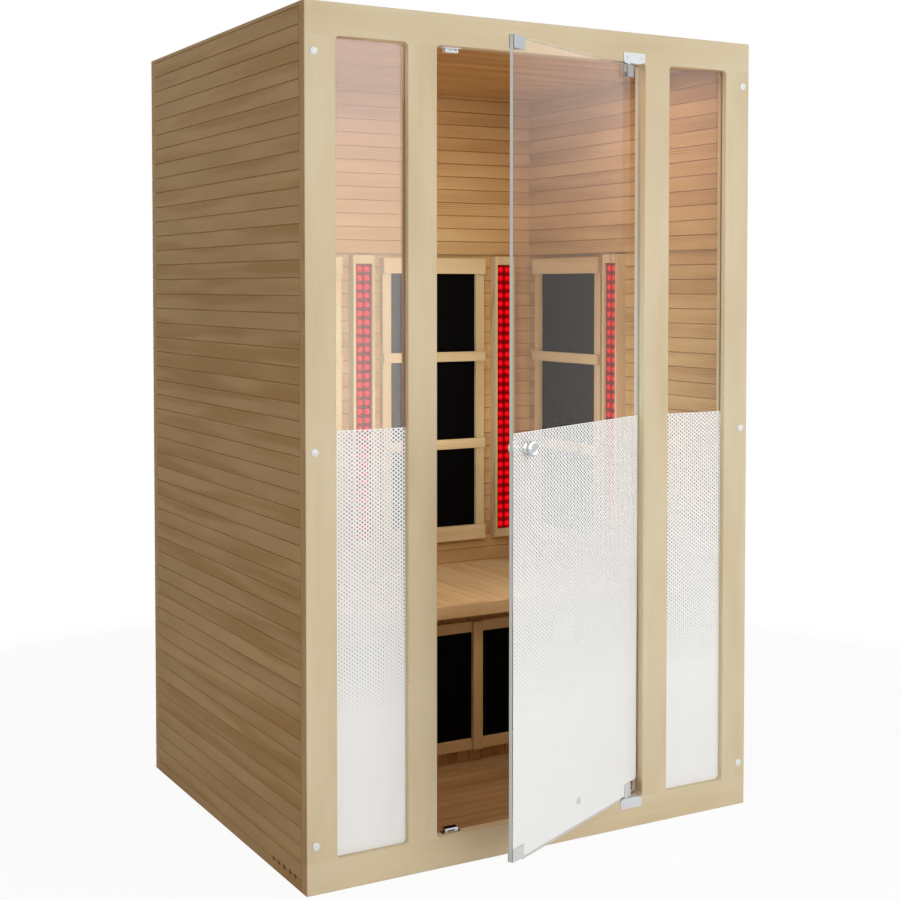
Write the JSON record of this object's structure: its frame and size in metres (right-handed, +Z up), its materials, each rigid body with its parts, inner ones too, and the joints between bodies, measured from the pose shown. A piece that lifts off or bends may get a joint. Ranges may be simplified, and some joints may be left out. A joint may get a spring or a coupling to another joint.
{
  "type": "infrared sauna cabin",
  "caption": "Free-standing wooden sauna cabin with a pivoting glass door, side windows with dotted white film, a bench, framed infrared heaters and red-light strips.",
  "frame": {"origin": "centre of the cabin's underside, on the floor it stands on", "axes": "+Z up, -Y out of the glazed front, +X to the right seen from the front"},
  "size_m": [1.2, 1.2316, 1.9],
  "materials": {
    "front_wood": "pale planed softwood, satin",
    "wall_boards": "tongue-and-groove softwood boards, matte",
    "inner_boards": "tongue-and-groove softwood boards in warm light, matte",
    "trim_wood": "planed softwood, matte",
    "glass": "clear toughened glass, faint bronze",
    "film": "white adhesive film, satin",
    "carbon": "black carbon emitter, satin",
    "red_lamps": "deep red lamp panel, gloss",
    "hardware": "bright chrome",
    "white_plastic": "white moulded plastic",
    "seal": "grey flexible seal",
    "black_plastic": "black moulded plastic"
  },
  "bodies": {
    "cabin": {"left_wall_panel": "wall_boards", "right_wall_panel": "wall_boards", "back_wall_panel": "wall_boards", "floor_panel": "inner_boards", "roof_panel": "inner_boards", "front_frame": "front_wood", "left_window_glass": "glass", "right_window_glass": "glass", "left_window_film": "film", "right_window_film": "film", "left_window_bead": "front_wood", "right_window_bead": "front_wood", "cap_left_bottom": "white_plastic", "cap_left_middle": "white_plastic", "cap_left_top": "white_plastic", "cap_right_bottom": "white_plastic", "cap_right_middle": "white_plastic", "cap_right_top": "white_plastic", "top_hinge_bracket": "hardware", "bottom_hinge_bracket": "hardware", "top_hinge_pin": "hardware", "bottom_hinge_pin": "hardware", "top_catch": "white_plastic", "bottom_catch": "hardware", "bench_seat": "inner_boards", "bench_nosing": "inner_boards", "bench_support": "inner_boards", "back_left_heater_guard": "trim_wood", "back_right_heater_guard": "trim_wood", "left_heater_guard": "trim_wood", "right_heater_guard": "trim_wood", "calf_heater_guard": "trim_wood", "back_left_heater_emitter": "carbon", "back_right_heater_emitter": "carbon", "left_heater_emitter": "carbon", "right_heater_emitter": "carbon", "calf_heater_emitter": "carbon", "back_left_strip_housing": "trim_wood", "back_centre_strip_housing": "trim_wood", "back_right_strip_housing": "trim_wood", "left_strip_housing": "trim_wood", "right_strip_housing": "trim_wood", "back_left_strip_lamps": "red_lamps", "back_centre_strip_lamps": "red_lamps", "back_right_strip_lamps": "red_lamps", "left_strip_lamps": "red_lamps", "right_strip_lamps": "red_lamps", "control_panel": "black_plastic", "power_box": "black_plastic"},
    "door": {"door_glass": "glass", "door_film": "film", "top_pivot_clip": "hardware", "bottom_pivot_clip": "hardware", "top_strike_plate": "hardware", "bottom_strike_plate": "hardware", "door_sweep_seal": "seal", "door_knob_outer": "hardware", "door_knob_inner": "hardware", "door_cap_upper": "white_plastic", "door_cap_lower": "white_plastic"}
  },
  "joints": [
    {"name": "door_hinge", "type": "hinge", "parent": "cabin", "child": "door", "pos_m": [0.235, -0.495, 0], "axis": [0, 0, 1], "range_deg": [-26, 84]}
  ]
}
